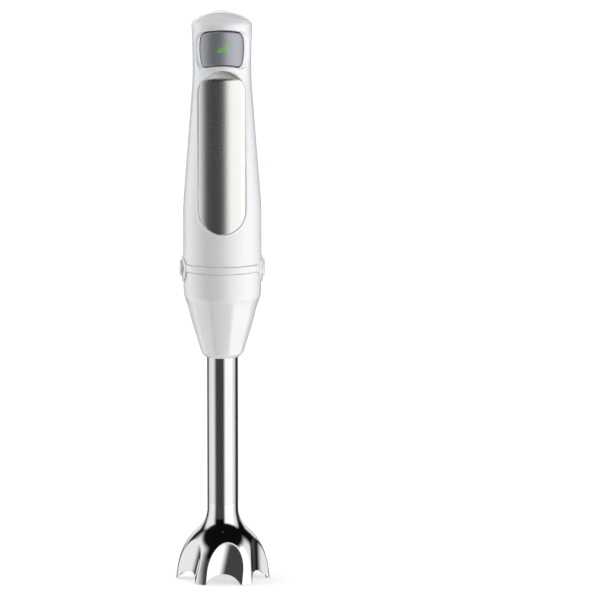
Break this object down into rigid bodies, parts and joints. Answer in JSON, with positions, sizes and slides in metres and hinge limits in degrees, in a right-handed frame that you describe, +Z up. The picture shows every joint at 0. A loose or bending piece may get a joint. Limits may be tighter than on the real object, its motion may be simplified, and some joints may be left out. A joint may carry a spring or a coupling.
{
  "type": "immersion blender",
  "caption": "Corded immersion blender: white motor handle with steel front panel and sprung speed switch, on a detachable steel blending shaft with a scalloped bell.",
  "frame": {"origin": "on the blender's long axis, in the plane of the bell's feet", "axes": "+Z up the long axis, the speed switch and steel panel face -Y, +X to the right seen from the front"},
  "size_m": [0.0652, 0.0604, 0.3955],
  "materials": {
    "polished_steel": "mirror polished",
    "tube_steel": "finely brushed along its length",
    "panel_steel": "brushed crosswise",
    "blade_steel": "ground",
    "white_plastic": "high gloss",
    "grip_plastic": "soft-touch matte",
    "switch_plastic": "satin",
    "green_print": "satin",
    "inner_plastic": "moulded",
    "dark_plastic": "moulded",
    "bronze": "sintered",
    "brass": "plain",
    "rubber": "matte",
    "spring_steel": "drawn wire",
    "laminated_steel": "varnished laminations",
    "copper_wire": "enamelled",
    "carbon": "graphite",
    "board_laminate": "solder mask",
    "lead_insulation": "matte"
  },
  "bodies": {
    "blending_shaft": {"bell": "polished_steel", "shaft_tube": "tube_steel", "bell_insert": "dark_plastic", "lower_bush": "bronze", "shaft_seal": "rubber", "upper_bush": "bronze", "coupling_housing": "white_plastic", "coupling_core": "inner_plastic"},
    "blade_drive": {"blade": "blade_steel", "blade_hub": "dark_plastic", "drive_shaft": "blade_steel", "drive_socket": "dark_plastic", "retaining_clip": "spring_steel"},
    "motor_unit": {"front_shell": "white_plastic", "rear_shell": "white_plastic", "rear_grip": "grip_plastic", "top_cap": "white_plastic", "steel_panel": "panel_steel", "lower_collar": "white_plastic", "collar_seal": "rubber", "cord_gland": "grip_plastic", "motor_lower_bracket": "dark_plastic", "motor_upper_bracket": "dark_plastic", "stator_stack": "laminated_steel", "field_coils": "copper_wire", "lower_motor_bush": "bronze", "upper_motor_bush": "bronze", "motor_screws": "spring_steel", "brush_holders": "brass", "carbon_brushes": "carbon", "brush_springs": "spring_steel", "control_board": "board_laminate", "board_components": "dark_plastic", "internal_leads": "lead_insulation", "switch_carrier": "inner_plastic", "switch_pin": "spring_steel"},
    "rotor": {"rotor_shaft": "blade_steel", "armature_core": "laminated_steel", "armature_windings": "copper_wire", "commutator": "copper_wire", "cooling_fan": "inner_plastic", "drive_coupler": "dark_plastic"},
    "speed_switch": {"switch_cap": "switch_plastic", "speed_indicator": "green_print", "switch_spring": "spring_steel"},
    "unlock": {"unlock_button": "grip_plastic", "unlock_spring": "spring_steel"},
    "release_left": {"release_button_left": "white_plastic", "latch_left": "inner_plastic", "latch_spring_left": "spring_steel"},
    "release_right": {"release_button_right": "white_plastic", "latch_right": "inner_plastic", "latch_spring_right": "spring_steel"}
  },
  "joints": [
    {"name": "motor_lift", "type": "slide", "parent": "blending_shaft", "child": "motor_unit", "axis": [0, 0, 1], "range_m": [0, 0.06]},
    {"name": "rotor_spin", "type": "hinge", "parent": "motor_unit", "child": "rotor", "pos_m": [0, 0, 0.25], "axis": [0, 0, 1], "continuous": true},
    {"name": "blade_spin", "type": "hinge", "parent": "blending_shaft", "child": "blade_drive", "pos_m": [0, 0, 0.1], "axis": [0, 0, 1], "continuous": true},
    {"name": "switch_press", "type": "hinge", "parent": "motor_unit", "child": "speed_switch", "pos_m": [0, -0.015, 0.359], "axis": [-1, 0, 0], "range_deg": [0, 6], "stiffness_Nm_per_rad": 0.5, "springref_deg": -2.86, "deforming": ["switch_spring"]},
    {"name": "unlock_press", "type": "slide", "parent": "motor_unit", "child": "unlock", "axis": [0, -0.2723, -0.9622], "range_m": [0, 0.0018], "stiffness_N_per_m": 1500, "springref_m": -0.0015, "deforming": ["unlock_spring"]},
    {"name": "release_left_press", "type": "slide", "parent": "motor_unit", "child": "release_left", "axis": [1, 0, 0], "range_m": [0, 0.0025], "stiffness_N_per_m": 2000, "springref_m": -0.002, "deforming": ["latch_spring_left"]},
    {"name": "release_right_press", "type": "slide", "parent": "motor_unit", "child": "release_right", "axis": [-1, 0, 0], "range_m": [0, 0.0025], "stiffness_N_per_m": 2000, "springref_m": -0.002, "deforming": ["latch_spring_right"]}
  ],
  "couplings": [
    {"joint": "blade_spin", "follows": "rotor_spin", "ratio": 1}
  ]
}
